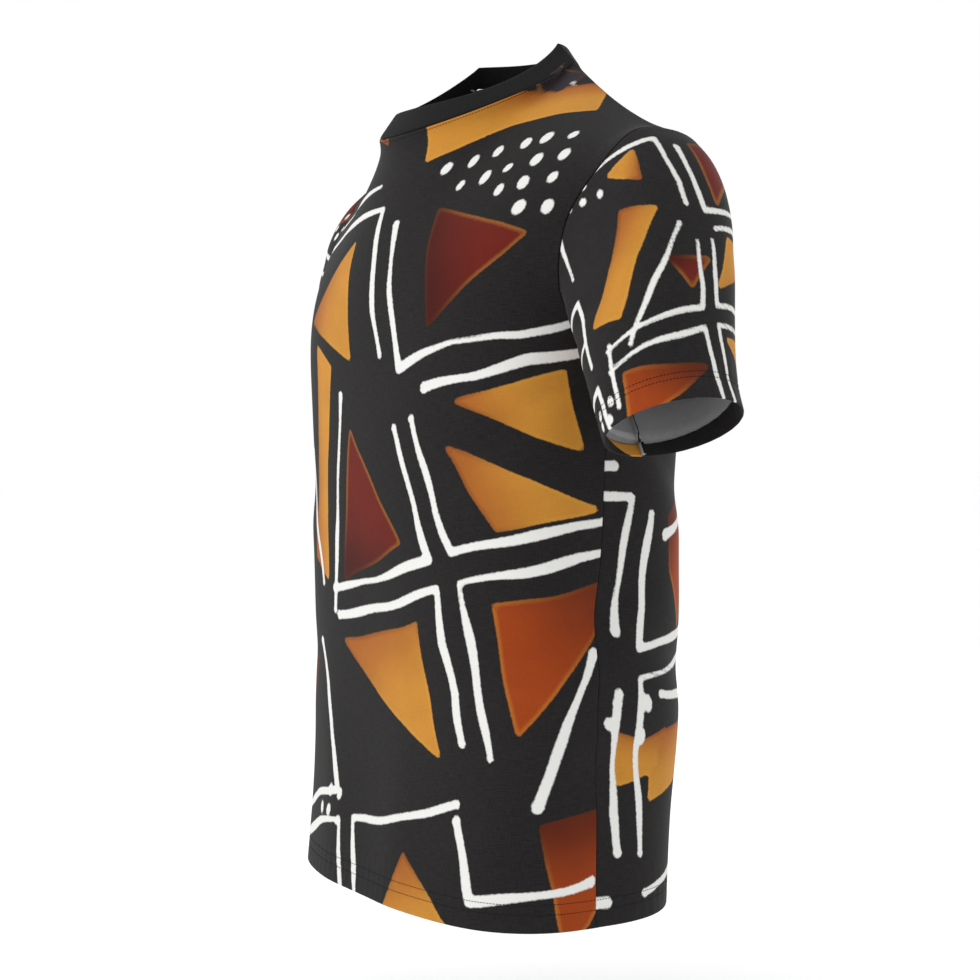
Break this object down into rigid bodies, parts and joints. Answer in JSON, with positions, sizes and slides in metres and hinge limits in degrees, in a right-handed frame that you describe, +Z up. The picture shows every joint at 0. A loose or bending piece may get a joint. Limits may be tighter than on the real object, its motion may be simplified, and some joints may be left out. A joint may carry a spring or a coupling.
{
  "type": "printed short-sleeved t-shirt",
  "caption": "Crew-neck t-shirt in all-over printed mud cloth pattern, filled out as worn but empty, with turned hems, short sleeves and a plain rib neck band.",
  "frame": {"origin": "middle of the neck opening, level with the high shoulder points, where the wearer's shoulders hold the shirt up", "axes": "+Z up, -Y the front of the shirt, +X the wearer's left"},
  "size_m": [0.6768, 0.2666, 0.7283],
  "materials": {
    "printed_jersey": "matt cotton jersey, charcoal ground with white, ochre, rust and maroon print",
    "black_rib": "matt cotton rib knit"
  },
  "bodies": {
    "root": {"front": "printed_jersey", "back": "printed_jersey", "sleeve_left": "printed_jersey", "sleeve_right": "printed_jersey", "neck_band": "black_rib"}
  },
  "joints": []
}
